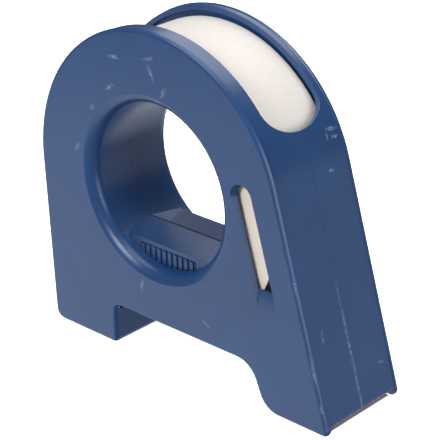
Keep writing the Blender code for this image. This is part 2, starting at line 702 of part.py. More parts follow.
def roll_hub():
    """Sleeve that turns on the grip tube, with ribs that hold the core."""
    half = TAPE_WIDTH / 2.0 - HUB_SHORT
    bore = TUBE_OUTER + HUB_CLEARANCE
    between = ROLL_STEPS // HUB_RIBS - 2
    sector = math.tau / HUB_RIBS
    width = sector * HUB_RIB_SHARE
    angles = []
    for k in range(HUB_RIBS):
        start = sector * k
        angles += [(start, True), (start + width, True)]
        for j in range(between + 1):
            share = j / between
            angles.append((start + width * 2.0 + (sector - width * 3.0) * share, False))
    rings = []
    for angle, ribbed in angles:
        outside = CORE_BORE - GAP if ribbed else bore + HUB_WALL
        rings.append([(radius * math.cos(angle), radius * math.sin(angle)) for radius in (bore, outside)])
    shape = bmesh.new()
    loops = []
    for radius_index, y in ((0, -half), (1, -half), (1, half), (0, half)):
        loops.append([shape.verts.new(HUB + Vector((ring[radius_index][0], y, ring[radius_index][1])))
                      for ring in rings])
    for near, far in zip(loops, loops[1:] + loops[:1]):
        for k in range(len(near)):
            after = (k + 1) % len(near)
            shape.faces.new((near[k], near[after], far[after], far[k]))
    hub = finish_object("roll_hub", shape, GREY_PLASTIC)
    move_origin(hub, HUB)


def tape_roll():
    """Paperboard core and the wound tape on it."""
    half = TAPE_WIDTH / 2.0
    core = tube("tape_core", CORE_BORE, CORE_BORE + CORE_WALL, half, HUB, ROLL_STEPS, CORE_BOARD)
    move_origin(core, HUB)
    wound = tube("tape_roll", CORE_BORE + CORE_WALL + GAP, ROLL_RADIUS, half, HUB, ROLL_STEPS, TAPE_PAPER)
    move_origin(wound, HUB)


def drag_spring():
    """Bowed steel leaf in a pocket of the grip tube, which rubs on the hub."""
    half = DRAG_LENGTH / 2.0
    stations = [half * (2.0 * k / SMALL_STEPS - 1.0) for k in range(SMALL_STEPS + 1)]
    crown = TUBE_OUTER + DRAG_RISE
    top = [(x, HUB.z + crown - DRAG_BOW * (x / half) ** 2) for x in stations]
    outline = top + [(x, z - DRAG_THICKNESS) for x, z in reversed(top)]
    edge = DRAG_PLACE - DRAG_WIDTH / 2.0
    drawn_out("hub_drag_spring", outline, along_y, edge, edge + DRAG_WIDTH, STEEL)


def pressure_roller():
    """Flanged roller core, rubber tyre and steel axle."""
    centre = roller_centre()
    end = INNER_HALF - ROLLER_END_GAP
    waist = end - FLANGE_WIDTH
    bore = AXLE_RADIUS + RUNNING_GAP
    profile = [(bore, -end), (ROLLER_FLANGE, -end), (ROLLER_FLANGE, -waist), (ROLLER_CORE, -waist),
               (ROLLER_CORE, waist), (ROLLER_FLANGE, waist), (ROLLER_FLANGE, end), (bore, end)]
    move_origin(turned("pressure_roller", profile, centre, 2 * SMALL_STEPS, GREY_PLASTIC), centre)
    inside = ROLLER_CORE + GAP
    tyre = tube("roller_tyre", inside, ROLLER_RADIUS, waist - GAP, centre, 2 * SMALL_STEPS, RUBBER)
    move_origin(tyre, centre)
    tip = INNER_HALF + AXLE_SEAT - GAP
    profile = [(0.0, -tip), (AXLE_RADIUS - AXLE_CHAMFER, -tip), (AXLE_RADIUS, AXLE_CHAMFER - tip),
               (AXLE_RADIUS, tip - AXLE_CHAMFER), (AXLE_RADIUS - AXLE_CHAMFER, tip), (0.0, tip)]
    turned("roller_axle", profile, centre, SMALL_STEPS, STEEL)


def leader_path():
    """Middle line of the tape strip: off the roll, behind the roller, below it and out to the blade."""
    roller = roller_centre()
    roll_reach = ROLL_RADIUS + GAP + LEADER_THICKNESS / 2.0
    roller_reach = ROLLER_RADIUS + GAP + LEADER_THICKNESS / 2.0
    span = Vector((roller.x - HUB.x, roller.z - HUB.z))
    heading = math.atan2(span.y, span.x) - math.asin((roll_reach + roller_reach) / span.length)
    leaves = math.degrees(heading) + 90.0
    path = arc(HUB.x, HUB.z, roll_reach, leaves + math.degrees(LEADER_HUG), leaves, ROUND_STEPS)
    path += arc(roller.x, roller.z, roller_reach, leaves + 180.0, 270.0, RISER_STEPS)
    path.append((roller.x + LEADER_TAIL, roller.z - roller_reach))
    return path


def tape_leader():
    """Tape strip from the roll to the cutter."""
    path = [Vector(point) for point in leader_path()]
    rings = []
    for k, point in enumerate(path):
        before = path[max(k - 1, 0)]
        after = path[min(k + 1, len(path) - 1)]
        heading = (after - before).normalized()
        off = Vector((-heading.y, heading.x)) * LEADER_THICKNESS / 2.0
        section = []
        for place, y in ((point - off, -1), (point + off, -1), (point + off, 1), (point - off, 1)):
            section.append(Vector((place.x, y * TAPE_WIDTH / 2.0, place.y)))
        rings.append(section)
    loft("tape_leader", rings, TAPE_PAPER)


def cutter_blade():
    """Serrated steel strip behind the lower edge of the sloped front."""
    count = round(BLADE_LENGTH / TOOTH_PITCH)
    half = BLADE_LENGTH / 2.0
    outline = [(-half, BLADE_LIFT + TOOTH_DEPTH)]
    for k in range(count):
        left = -half + BLADE_LENGTH * k / count
        outline.append((left + BLADE_LENGTH / count / 2.0, BLADE_LIFT))
        outline.append((left + BLADE_LENGTH / count, BLADE_LIFT + TOOTH_DEPTH))
    outline += [(half, BLADE_LIFT + BLADE_HEIGHT), (-half, BLADE_LIFT + BLADE_HEIGHT)]
    front = WALL + GAP
    blade = drawn_out("cutter_blade", outline, behind_slope, front, front + BLADE_THICKNESS, STEEL)
    for mirror in (-1, 1):
        cut(blade, blade_stud(f"blade_hole_{mirror}", mirror, STUD_RADIUS + RUNNING_GAP, front - OVERRUN))


def blade_stud(name, mirror, radius, front):
    """Round stud across the blade."""
    lift = HOLDER_LIFT + HOLDER_HEIGHT / 2.0
    ring = arc(mirror * STUD_SPREAD, lift, radius, 0.0, 360.0, SMALL_STEPS)[:-1]
    return drawn_out(name, ring, behind_slope, front, HOLDER_IN + HOLDER_THICKNESS / 2.0)


def blade_holder():
    """Bar behind the blade, with the studs that carry it and the bracket for the screws."""
    behind = HOLDER_IN + HOLDER_THICKNESS
    end = INNER_HALF - GAP
    top = HOLDER_LIFT + HOLDER_HEIGHT
    outline = [(HOLDER_IN, HOLDER_LIFT), (behind, HOLDER_LIFT), (behind, top), (HOLDER_IN, top)]
    holder = drawn_out("blade_holder", outline, on_slope, -end, end, DARK_PLASTIC)
    for mirror in (-1, 1):
        stud = blade_stud(f"holder_stud_{mirror}", mirror, STUD_RADIUS, WALL + GAP)
        combine(holder, stud, 'UNION')
    deep = HOLDER_IN + BRACKET_DEPTH
    foot = top - HOLDER_HEIGHT / 2.0
    high = BRACKET_LOW + BRACKET_HEIGHT
    front = HOLDER_IN + LAP
    back = behind - LAP
    outline = [(front, foot), (back, foot), (back, BRACKET_LOW), (deep, BRACKET_LOW), (deep, high),
               (front, high)]
    bracket = drawn_out("holder_bracket", outline, on_slope, SCREW_SEAT - BRACKET_THICKNESS, SCREW_SEAT)
    combine(holder, bracket, 'UNION')
    for k, lift in enumerate(SCREW_LIFTS):
        hole = rod(f"bracket_hole_{k}", SCREW_RADIUS + RUNNING_GAP, SCREW_SEAT - BRACKET_THICKNESS - OVERRUN,
                   SCREW_SEAT + OVERRUN, on_slope(SCREW_IN, lift), SMALL_STEPS)
        cut(holder, hole)


def holder_screws():
    """Two slotted screws through the bracket into the far shell's bosses."""
    head_seat = SCREW_SEAT - BRACKET_THICKNESS - GAP
    head_top = head_seat - SCREW_HEAD
    tip = head_seat + SCREW_LENGTH
    for word, lift in zip(("low", "high"), SCREW_LIFTS):
        centre = on_slope(SCREW_IN, lift)
        profile = [(0.0, head_top), (SCREW_HEAD_RADIUS, head_top), (SCREW_HEAD_RADIUS, head_seat),
                   (SCREW_RADIUS, head_seat), (SCREW_RADIUS, tip - SCREW_RADIUS), (0.0, tip)]
        screw = turned("holder_screw_" + word, profile, centre, SMALL_STEPS, STEEL)
        left = centre.x - HUB.x - SCREW_HEAD_RADIUS - OVERRUN
        right = centre.x - HUB.x + SCREW_HEAD_RADIUS + OVERRUN
        low = centre.z - SCREW_SLOT_WIDTH / 2.0
        high = centre.z + SCREW_SLOT_WIDTH / 2.0
        outline = [(left, low), (right, low), (right, high), (left, high)]
        cut(screw, drawn_out("screw_slot_" + word, outline, along_y, head_top - OVERRUN,
                             head_top + SCREW_SLOT_DEPTH))


def latch_button():
    """Ribbed push button in the end of the grip block, with the stem that works the jaws."""
    centre = HUB + Vector((0.0, -BLOCK_HALF, -STEM_DROP))
    lip = BUTTON_HALF + FLANGE_LIP
    lip_front = FLANGE_BACK + FLANGE_THICKNESS
    face = BLOCK_HALF
    outline = [(lip, FLANGE_BACK), (lip, lip_front), (BUTTON_HALF, lip_front), (BUTTON_HALF, face)]
    for k in range(RIB_COUNT):
        right = RIB_PITCH * ((RIB_COUNT - 1) / 2.0 - k) + RIB_WIDTH / 2.0
        left = right - RIB_WIDTH
        outline += [(right, face), (right, face + RIB_PROUD), (left, face + RIB_PROUD), (left, face)]
    outline += [(-BUTTON_HALF, face), (-BUTTON_HALF, lip_front), (-lip, lip_front), (-lip, FLANGE_BACK)]
    top = -block_drop(BLOCK_HALF) - BUTTON_BAND
    button = drawn_out("latch_button", [(a, -h) for a, h in outline], along_z, -HOLE_RADIUS - OVERRUN, top,
                       BLUE_PLASTIC)
    floor = rod("button_floor", HOLE_RADIUS - GAP, -HALF_WIDTH, HALF_WIDTH, HUB, TUBE_STEPS)
    combine(button, floor, 'INTERSECT')
    tip = PIN_DEPTH - CAM_START + TIP_LEAD
    wide = STEM_SIZE / 2.0
    narrow = TIP_WIDTH / 2.0
    root = FLANGE_BACK + FLANGE_THICKNESS / 2.0
    shoulder = tip + WEDGE_LENGTH
    outline = [(wide, -root), (wide, -shoulder), (narrow, -tip), (-narrow, -tip), (-wide, -shoulder),
               (-wide, -root)]
    stem = drawn_out("button_stem", outline, along_z, -STEM_DROP - wide, wide - STEM_DROP)
    combine(button, stem, 'UNION')
    move_origin(button, centre)


def latch_spring():
    """Coil spring round the button's stem."""
    start = -FLANGE_BACK + GAP + SPRING_WIRE
    end = -SEAT_OUTSIDE - GAP - SPRING_WIRE
    count = round(SPRING_TURNS * SPRING_STEPS)
    curve = bpy.data.curves.new("latch_spring", 'CURVE')
    curve.dimensions = '3D'
    curve.bevel_depth = SPRING_WIRE
    curve.bevel_resolution = 1
    curve.use_fill_caps = True
    coil = curve.splines.new('POLY')
    coil.points.add(count)
    for k, point in enumerate(coil.points):
        angle = math.tau * k / SPRING_STEPS
        y = start + (end - start) * k / count
        place = Vector((SPRING_RADIUS * math.cos(angle), y, SPRING_RADIUS * math.sin(angle) - STEM_DROP))
        point.co = (*place, 1.0)
    spring = bpy.data.objects.new("latch_spring", curve)
    spring.location = HUB
    bpy.context.scene.collection.objects.link(spring)
    curve.materials.append(make_material("latch_spring", STEEL))


def latch_jaw(word, mirror):
    """Lever on a pin: a cam towards the stem, and a nose that rests in the far shell's post."""
    nose_reach = PIN_SPREAD - POST_WIDTH / 2.0 - NOSE_CLEARANCE
    nose_end = NOSE_START + NOSE_LENGTH
    arm_end = nose_end + NOSE_SLOPE + JAW_TAIL
    first = math.degrees(math.acos(-JAW_INSIDE / JAW_BOSS))
    last = math.degrees(math.acos(JAW_OUTSIDE / JAW_BOSS)) + 360.0
    outline = arc(0.0, 0.0, JAW_BOSS, first, last, SPRING_STEPS)
    outline += [(JAW_OUTSIDE, arm_end), (-JAW_INSIDE, arm_end), (-JAW_INSIDE, nose_end + NOSE_SLOPE),
                (-nose_reach, nose_end), (-nose_reach, NOSE_START), (-JAW_INSIDE, NOSE_START - NOSE_SLOPE),
                (-JAW_INSIDE, CAM_START + CAM_LENGTH), (-CAM_REACH, CAM_START + CAM_LENGTH),
                (-CAM_REACH, CAM_START), (-JAW_INSIDE, CAM_START)]
    axis = pin_place(mirror)
    low = -STEM_DROP - JAW_HEIGHT / 2.0
    outline = [(mirror * (PIN_SPREAD + a), b - PIN_DEPTH) for a, b in outline]
    jaw = drawn_out("latch_jaw_" + word, outline, along_z, low, low + JAW_HEIGHT, GREY_PLASTIC)
    bore = rod("jaw_bore_" + word, PIN_RADIUS + RUNNING_GAP, low - OVERRUN, low + JAW_HEIGHT + OVERRUN, axis,
               SMALL_STEPS, axis=UPRIGHT)
    cut(jaw, bore)
    move_origin(jaw, axis - Vector((0.0, 0.0, STEM_DROP)))
    start, end = pin_span(0.0)
    rod("jaw_pin_" + word, PIN_RADIUS, start, end, axis, SMALL_STEPS, STEEL, axis=UPRIGHT)


def main():
    """Build every piece."""
    for thing in list(bpy.data.objects):
        bpy.data.objects.remove(thing, do_unlink=True)
    near_shell()
    far_shell()
    roll_hub()
    tape_roll()
    drag_spring()
    pressure_roller()
    tape_leader()
    cutter_blade()
    blade_holder()
    holder_screws()
    latch_button()
    latch_spring()
    latch_jaw("left", -1)
    latch_jaw("right", 1)


main()
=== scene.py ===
"""Looks of the hand-held masking tape dispenser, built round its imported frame."""

import math
import random

import bmesh
import bpy
from mathutils import Matrix, Vector


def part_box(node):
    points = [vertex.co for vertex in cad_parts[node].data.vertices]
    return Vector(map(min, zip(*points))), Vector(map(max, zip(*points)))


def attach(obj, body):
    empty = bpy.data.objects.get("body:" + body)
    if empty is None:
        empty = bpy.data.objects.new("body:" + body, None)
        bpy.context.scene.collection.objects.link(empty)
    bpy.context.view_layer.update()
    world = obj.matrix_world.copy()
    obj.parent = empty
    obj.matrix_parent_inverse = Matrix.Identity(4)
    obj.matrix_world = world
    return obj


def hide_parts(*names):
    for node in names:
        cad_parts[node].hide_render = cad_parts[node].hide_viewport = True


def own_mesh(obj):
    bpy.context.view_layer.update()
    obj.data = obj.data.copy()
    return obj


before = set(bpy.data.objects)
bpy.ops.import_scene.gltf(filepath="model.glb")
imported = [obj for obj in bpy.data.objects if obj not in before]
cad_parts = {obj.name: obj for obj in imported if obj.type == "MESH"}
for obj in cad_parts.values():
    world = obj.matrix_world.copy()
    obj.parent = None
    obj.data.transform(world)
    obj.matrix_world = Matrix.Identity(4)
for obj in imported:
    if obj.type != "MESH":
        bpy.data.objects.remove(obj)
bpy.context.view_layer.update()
random.seed(4)

MM = 0.001
ACROSS = Vector((0.0, 1.0, 0.0))

# Places that the frame gives
roll_low, roll_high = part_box("tape_roll")
core_low, core_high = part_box("tape_core")
HUB = (roll_low + roll_high) / 2.0
ROLL_RADIUS = (roll_high.x - roll_low.x) / 2.0
ROLL_HALF = (roll_high.y - roll_low.y) / 2.0
CORE_OUTER = (core_high.x - core_low.x) / 2.0

# Camera at the photograph's viewing angle; Blender takes its lens and its sensor in millimetres
CAMERA_AZIMUTH = math.radians(43.53)
CAMERA_ELEVATION = math.radians(24.7)
CAMERA_ROLL = math.radians(-1.29)
CAMERA_DISTANCE = 650.0 * MM
CAMERA_TARGET = Vector((2.87 * MM, 0.0, 59.87 * MM))
CAMERA_LENS = 136.38
CAMERA_SENSOR = 36.0
CAMERA_NEAR = 10.0 * MM
CAMERA_FAR = 20.0

# Points that lie closer are one point, faces that are flatter are one face, edges that are sharper stay sharp
MERGE = 0.001 * MM
FLAT_ANGLE = math.radians(0.5)
SHARP_ANGLE = math.radians(30.0)

# Shading goes wholly by the larger faces
AREA_WEIGHT = 100

# Parting faces of the two shells: where the CAD has them, and how close they close in the looks
PARTING = 0.15 * MM
SEAM = 0.035 * MM

# Painted shade of the parting gap along the seam on top of the grip block: how far the ridge lies below the
# hub's middle, where the shade is, how far it reaches each way, and the share of that reach at which it is
# full
BLOCK_DROP = 24.25 * MM
GROOVE = Vector((HUB.x, 0.0, HUB.z - BLOCK_DROP))
GROOVE_REACH = Vector((36.0, 0.6, 1.5)) * MM
GROOVE_HEART = 0.6

# Scuffs and the pale lines that paint highlights: grain of their ragged rims, how far it throws them, how far
# off a flat panel a scuff still marks, and the share of its reach at which a mark is full
RAGGED_GRAIN = 1.8 * MM
RAGGED_THROW = 2.4 * MM
SCUFF_DEPTH = 1.0 * MM
MARK_HEART = 0.4

# Wound tape: its drawn layers, how far they stand out of line, its clearance on the core, the steps round it,
# and how squarely a face looks sideways where it counts as a cut edge
LAYER_PITCH = 0.42 * MM
LAYER_SHIFT = 0.07 * MM
CORE_CLEARANCE = 0.3 * MM
ROLL_STEPS = 192
SIDEWAYS = 0.5

# Surroundings, as bright as they light the object and as bright as the camera sees them
SKY_GLOW = 0.1
SKY_SEEN = 1.0

# Floor, in metres from its middle to its sides
FLOOR_REACH = 15.0

# Soft boxes: name, azimuth and elevation in degrees, distance and size in metres, power in watts
LIGHTS = (
    ("key", -3.0, 32.0, 1.3, 0.5, 9.4),
    ("top", -30.0, 78.0, 1.3, 1.0, 8.6),
    ("fill", 86.0, 12.0, 1.6, 1.1, 13.5),
    ("back", 170.0, 62.0, 1.5, 1.0, 2.0),
    ("bounce", -50.0, -42.0, 0.5, 0.6, 1.2),
    ("bounce_front", 40.0, -45.0, 0.6, 0.5, 0.7),
    ("bounce_behind", 178.0, -50.0, 0.6, 0.5, 1.0),
    ("rear", 182.0, 0.0, 1.8, 0.9, 20.0),
    ("backdrop", 202.0, 48.0, 1.6, 1.3, 14.0),
    ("bounce_right", 134.0, -14.0, 1.6, 1.0, 1.8),
    ("sweep", 0.0, 90.0, 10.0, 20.0, 3600.0),
)

# Lights that glosses don't mirror, those that glosses alone show, and the cool tint of the one behind
UNMIRRORED = ("bounce_front", "rear")
MIRRORED_ONLY = ("backdrop", "bounce_right")
COOL_TINT = (0.8, 0.88, 1.0)


def colour(text):
    """Linear colour from an sRGB hex value."""
    parts = [int(text[k:k + 2], 16) / 255.0 for k in (1, 3, 5)]
    linear = [v / 12.92 if v <= 0.04045 else ((v + 0.055) / 1.055) ** 2.4 for v in parts]
    return (*linear, 1.0)


def add(tree, kind, inputs=None, **settings):
    """Add a node; inputs gives each socket a value or another node's output. A Map Range takes its value at
    0, its old range at 1 and 2, and its new range at 3 and 4, 0 to 1 if unset. A colour Mix takes its share
    at 0, and its two colours at 6 and 7."""
    made = tree.nodes.new("ShaderNode" + kind)
    for name, value in settings.items():
        setattr(made, name, value)
    for socket, value in (inputs or {}).items():
        if isinstance(value, bpy.types.NodeSocket):
            tree.links.new(value, made.inputs[socket])
        else:
            made.inputs[socket].default_value = value
    return made


def new_material(name, roughness, metallic=0.0):
    """Material with its node tree, its shader and the place that its patterns read."""
    material = bpy.data.materials.new(name)
    material.use_nodes = True
    tree = material.node_tree
    shader = tree.nodes["Principled BSDF"]
    shader.inputs["Roughness"].default_value = roughness
    shader.inputs["Metallic"].default_value = metallic
    place = add(tree, "TexCoord").outputs["Object"]
    return material, tree, shader, place


def per(size):
    """Pattern scale for a feature of this real size."""
    return 1.0 / size


# Pale scuffs, and pale lines that paint the highlights of the seam, the lower edge and the rounded near edge
# of the sloped front, each by its two ends and its half width in millimetres: near panel, sloped front with
# its seam and lower edge, far panel and back wall
SCUFFS_AND_HIGHLIGHTS = (
    ((-33.4, -22.0, 125.2), (-26.5, -22.0, 125.8), 1.2),
    ((-14.4, -22.0, 128.0), (-7.6, -22.0, 129.8), 0.9),
    ((-12.4, -22.0, 127.8), (-8.3, -22.0, 119.8), 1.0),
    ((-35.9, -22.0, 110.8), (-30.2, -22.0, 114.6), 1.0),
    ((-5.6, -22.0, 113.8), (-2.2, -22.0, 119.9), 1.0),
    ((-10.4, -22.0, 113.6), (-4.9, -22.0, 112.4), 0.7),
    ((-44.6, -22.0, 100.9), (-41.6, -22.0, 103.3), 1.1),
    ((-54.9, -22.0, 80.4), (-51.8, -22.0, 85.7), 1.1),
    ((-20.5, -22.0, 28.2), (-18.9, -22.0, 36.3), 1.0),
    ((13.1, -22.0, 28.7), (17.6, -22.0, 25.4), 0.9),
    ((45.0, 12.8, 104.5), (45.3, 19.4, 103.9), 0.8),
    ((46.5, 14.4, 101.6), (46.7, 18.6, 101.1), 0.7),
    ((44.9, 13.0, 104.8), (47.2, 12.2, 99.6), 0.6),
    ((50.3, 8.6, 90.8), (50.4, 11.9, 90.5), 0.9),
    ((64.8, -12.5, 39.2), (66.9, -13.2, 31.9), 0.8),
    ((71.3, 13.2, 16.1), (71.5, 17.6, 15.2), 0.8),
    # Pale lines that paint highlights: down the seam of the sloped front, along its lower edge and along its
    # rounded near edge
    ((58.7, 0.0, 61.0), (81.4, 0.1, -20.0), 0.8),
    ((74.8, -26.0, 3.4), (74.8, 26.0, 3.5), 0.6),
    ((58.8, -21.4, 61.0), (61.1, -21.3, 53.0), 0.5),
    ((66.7, -21.4, 32.0), (70.1, -21.3, 20.0), 0.6),
    ((71.9, -21.4, 13.5), (73.1, -21.3, 9.5), 0.6),
    ((-38.0, 22.0, 118.0), (-30.5, 22.0, 121.5), 1.0),
    ((9.5, 22.0, 127.5), (14.0, 22.0, 121.0), 0.9),
    ((36.0, 22.0, 70.0), (39.5, 22.0, 62.5), 1.0),
    ((-54.0, 22.0, 40.5), (-49.0, 22.0, 37.0), 1.1),
    ((20.0, 22.0, 24.0), (28.0, 22.0, 25.5), 0.8),
    ((-68.2, 4.0, 70.0), (-68.8, 6.0, 63.0), 0.8),
    ((-69.5, -9.0, 44.0), (-70.2, -11.0, 35.0), 0.9),
)


def scuff_and_highlight_mask(tree, place, broken):
    """One where a scuff or a painted highlight line is, with a ragged rim, and broken up by the grain."""
    ragged = add(tree, "TexNoise", {"Vector": place, "Scale": per(RAGGED_GRAIN), "Detail": 3.0,
                                    "Roughness": 0.7})
    centred = add(tree, "VectorMath", {0: ragged.outputs["Color"], 1: (0.5, 0.5, 0.5)}, operation='SUBTRACT')
    shift = add(tree, "VectorMath", {0: centred.outputs[0], "Scale": RAGGED_THROW}, operation='SCALE')
    place = add(tree, "VectorMath", {0: place, 1: shift.outputs[0]}, operation='ADD').outputs[0]
    mask = None
    for start, end, half_width in SCUFFS_AND_HIGHLIGHTS:
        start = Vector(start) * MM
        end = Vector(end) * MM
        turn = (end - start).to_track_quat('X', 'Z').to_euler()
        reach = Vector(((end - start).length / 2.0, half_width * MM, half_width * MM))
        if start.y == end.y:
            reach.y = SCUFF_DEPTH
        local = add(tree, "Mapping", {"Vector": place, "Location": (start + end) / 2.0, "Rotation": turn,
                                      "Scale": reach}, vector_type='TEXTURE')
        away = add(tree, "VectorMath", {0: local.outputs[0]}, operation='LENGTH')
        here = add(tree, "MapRange", {0: away.outputs["Value"], 1: 1.0, 2: MARK_HEART})
        if mask is None:
            mask = here.outputs[0]
        else:
            mask = add(tree, "Math", {0: mask, 1: here.outputs[0]}, operation='MAXIMUM').outputs[0]
    return add(tree, "Math", {0: mask, 1: broken}, operation='MULTIPLY').outputs[0]


def moulded_blue():
    """Injection moulded ABS: a spark-eroded matt skin, polished in patches by hands, with pale scuffs, pale
    lines that paint highlights on the sloped front's seam and edges, and painted shade of the parting gap on
    top of the grip block."""
    material, tree, shader, place = new_material("moulded_abs_blue", roughness=0.31)
    cloud = add(tree, "TexNoise", {"Vector": place, "Scale": per(34.0 * MM), "Detail": 3.0})
    skin = add(tree, "TexNoise", {"Vector": place, "Scale": per(0.55 * MM), "Detail": 2.0})
    grit = add(tree, "TexNoise", {"Vector": place, "Scale": per(1.3 * MM), "Detail": 3.0, "Roughness": 0.7})
    tint = add(tree, "MapRange", {0: cloud.outputs[0], 1: 0.35, 2: 0.65})
    base = add(tree, "Mix", {0: tint.outputs[0], 6: colour("#234575"), 7: colour("#284B7D")},
               data_type='RGBA')
    broken = add(tree, "MapRange", {0: grit.outputs[0], 1: 0.42, 2: 0.58, 3: 0.1, 4: 0.72})
    # Pale scuffs, and pale lines that paint highlights on the sloped front
    scuffs_and_highlights = scuff_and_highlight_mask(tree, place, broken.outputs[0])
    marked = add(tree, "Mix", {0: scuffs_and_highlights, 6: base.outputs[2], 7: colour("#8EA2C2")}, data_type='RGBA')
    # Painted shade: the parting gap along the seam on top of the grip block darkened nearly to black
    groove = add(tree, "Mapping", {"Vector": place, "Location": GROOVE, "Scale": GROOVE_REACH},
                 vector_type='TEXTURE')
    off_groove = add(tree, "VectorMath", {0: groove.outputs[0]}, operation='LENGTH')
    seam_shade = add(tree, "MapRange", {0: off_groove.outputs["Value"], 1: 1.0, 2: GROOVE_HEART})
    seam_shaded = add(tree, "Mix", {0: seam_shade.outputs[0], 6: marked.outputs[2], 7: colour("#0C1428")},
                 data_type='RGBA')
    tree.links.new(seam_shaded.outputs[2], shader.inputs["Base Color"])
    gloss = add(tree, "MapRange", {0: cloud.outputs[0], 1: 0.3, 2: 0.7, 3: 0.27, 4: 0.35})
    dull = add(tree, "Math", {0: scuffs_and_highlights, 1: seam_shade.outputs[0]}, operation='MAXIMUM')
    rough = add(tree, "Math", {0: gloss.outputs[0], 1: dull.outputs[0]}, operation='ADD')
    tree.links.new(rough.outputs[0], shader.inputs["Roughness"])
    bump = add(tree, "Bump", {"Height": skin.outputs[0], "Strength": 0.25, "Distance": 0.05 * MM})
    tree.links.new(bump.outputs[0], shader.inputs["Normal"])
    return material


def crepe_paper():
    """Masking tape's crepe paper backing, pressed nearly smooth on the roll: faint wrinkles across the tape,
    a cream tint."""
    material, tree, shader, place = new_material("crepe_masking_tape", roughness=0.62)
    stretched = add(tree, "Mapping", {"Vector": place, "Scale": (1.0, 0.12, 1.0)})
    wrinkles = add(tree, "TexNoise", {"Vector": stretched.outputs[0], "Scale": per(0.7 * MM), "Detail": 3.0})
    shade = add(tree, "MapRange", {0: wrinkles.outputs[0], 1: 0.3, 2: 0.7})
    base = add(tree, "Mix", {0: shade.outputs[0], 6: colour("#EDE6DE"), 7: colour("#F1EBE5")},
               data_type='RGBA')
    tree.links.new(base.outputs[2], shader.inputs["Base Color"])
    bump = add(tree, "Bump", {"Height": wrinkles.outputs[0], "Strength": 0.12, "Distance": 0.06 * MM})
    tree.links.new(bump.outputs[0], shader.inputs["Normal"])
    shader.inputs["Subsurface Weight"].default_value = 0.08
    shader.inputs["Subsurface Scale"].default_value = 1.0 * MM
    return material


def wound_edges():
    """Cut edges of the wound tape: concentric layers, each a little lighter or darker, drawn coarser than
    the real 0.13 mm so that they show."""
    material, tree, shader, place = new_material("wound_tape_edges", roughness=0.7)
    flat = add(tree, "Mapping", {"Vector": place, "Location": -HUB, "Scale": (1.0, 0.0, 1.0)})
    radius = add(tree, "VectorMath", {0: flat.outputs[0]}, operation='LENGTH')
    layers = add(tree, "TexNoise", {"W": radius.outputs["Value"], "Scale": per(0.5 * MM), "Detail": 2.0},
                 noise_dimensions='1D')
    cloud = add(tree, "TexNoise", {"Vector": place, "Scale": per(6.0 * MM), "Detail": 2.0})
    mixed = add(tree, "Math", {0: layers.outputs[0], 1: cloud.outputs[0]}, operation='ADD')
    tone = add(tree, "MapRange", {0: mixed.outputs[0], 1: 0.7, 2: 1.3})
    base = add(tree, "Mix", {0: tone.outputs[0], 6: colour("#F5E8DA"), 7: colour("#FFF5E9")},
               data_type='RGBA')
    tree.links.new(base.outputs[2], shader.inputs["Base Color"])
    bump = add(tree, "Bump", {"Height": layers.outputs[0], "Strength": 0.3, "Distance": 0.08 * MM})
    tree.links.new(bump.outputs[0], shader.inputs["Normal"])
    return material


def core_board():
    """Wound grey-brown paperboard: short fibres and a dull face."""
    material, tree, shader, place = new_material("paperboard_core", roughness=0.85)
    fibres = add(tree, "TexNoise", {"Vector": place, "Scale": per(0.9 * MM), "Detail": 4.0, "Roughness": 0.7})
    base = add(tree, "Mix", {0: fibres.outputs[0], 6: colour("#7E6449"), 7: colour("#B99C79")},
               data_type='RGBA')
    tree.links.new(base.outputs[2], shader.inputs["Base Color"])
    bump = add(tree, "Bump", {"Height": fibres.outputs[0], "Strength": 0.4, "Distance": 0.08 * MM})
    tree.links.new(bump.outputs[0], shader.inputs["Normal"])
    return material


def plain_moulding(name, dark, light, roughness):
    """Moulded nylon or rubber of an inside piece: faint flow marks and a fine matt skin."""
    material, tree, shader, place = new_material(name, roughness)
    flow = add(tree, "TexNoise", {"Vector": place, "Scale": per(5.0 * MM), "Detail": 3.0, "Distortion": 0.6})
    skin = add(tree, "TexNoise", {"Vector": place, "Scale": per(0.4 * MM), "Detail": 2.0})
    base = add(tree, "Mix", {0: flow.outputs[0], 6: colour(dark), 7: colour(light)}, data_type='RGBA')
    tree.links.new(base.outputs[2], shader.inputs["Base Color"])
    bump = add(tree, "Bump", {"Height": skin.outputs[0], "Strength": 0.2, "Distance": 0.04 * MM})
    tree.links.new(bump.outputs[0], shader.inputs["Normal"])
    return material


def brushed_steel(name, roughness):
    """Bright steel: grinding lines across the object, which spread the highlights at right angles to them."""
    material, tree, shader, place = new_material(name, roughness, metallic=1.0)
    stretched = add(tree, "Mapping", {"Vector": place, "Scale": (1.0, 0.05, 1.0)})
    lines = add(tree, "TexNoise", {"Vector": stretched.outputs[0], "Scale": per(0.25 * MM), "Detail": 3.0})
    base = add(tree, "Mix", {0: lines.outputs[0], 6: colour("#A9ACB0"), 7: colour("#D6D8DA")},
               data_type='RGBA')
    tree.links.new(base.outputs[2], shader.inputs["Base Color"])
    rough = add(tree, "MapRange", {0: lines.outputs[0], 3: roughness - 0.07, 4: roughness + 0.1})
    tree.links.new(rough.outputs[0], shader.inputs["Roughness"])
    bump = add(tree, "Bump", {"Height": lines.outputs[0], "Strength": 0.15, "Distance": 0.02 * MM})
    tree.links.new(bump.outputs[0], shader.inputs["Normal"])
    return material


def smooth_piece(name, shape, finishes, body, node):
    """Object from a bmesh: shaded smooth but for its sharp edges, riding on a body in place of a CAD node,
    which it hides."""
    mesh = bpy.data.meshes.new(name)
    shape.to_mesh(mesh)
    shape.free()
    for extra in ("custom_normal", "sharp_edge", "sharp_face"):
        if extra in mesh.attributes:
            mesh.attributes.remove(mesh.attributes[extra])
    mesh.shade_smooth()
    mesh.set_sharp_from_angle(angle=SHARP_ANGLE)
    for finish in finishes:
        mesh.materials.append(finish)
    piece = bpy.data.objects.new(name, mesh)
    bpy.context.scene.collection.objects.link(piece)
    weigh = piece.modifiers.new("even_normals", 'WEIGHTED_NORMAL')
    weigh.keep_sharp = True
    weigh.weight = AREA_WEIGHT
    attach(piece, body)
    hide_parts(node)
    return piece


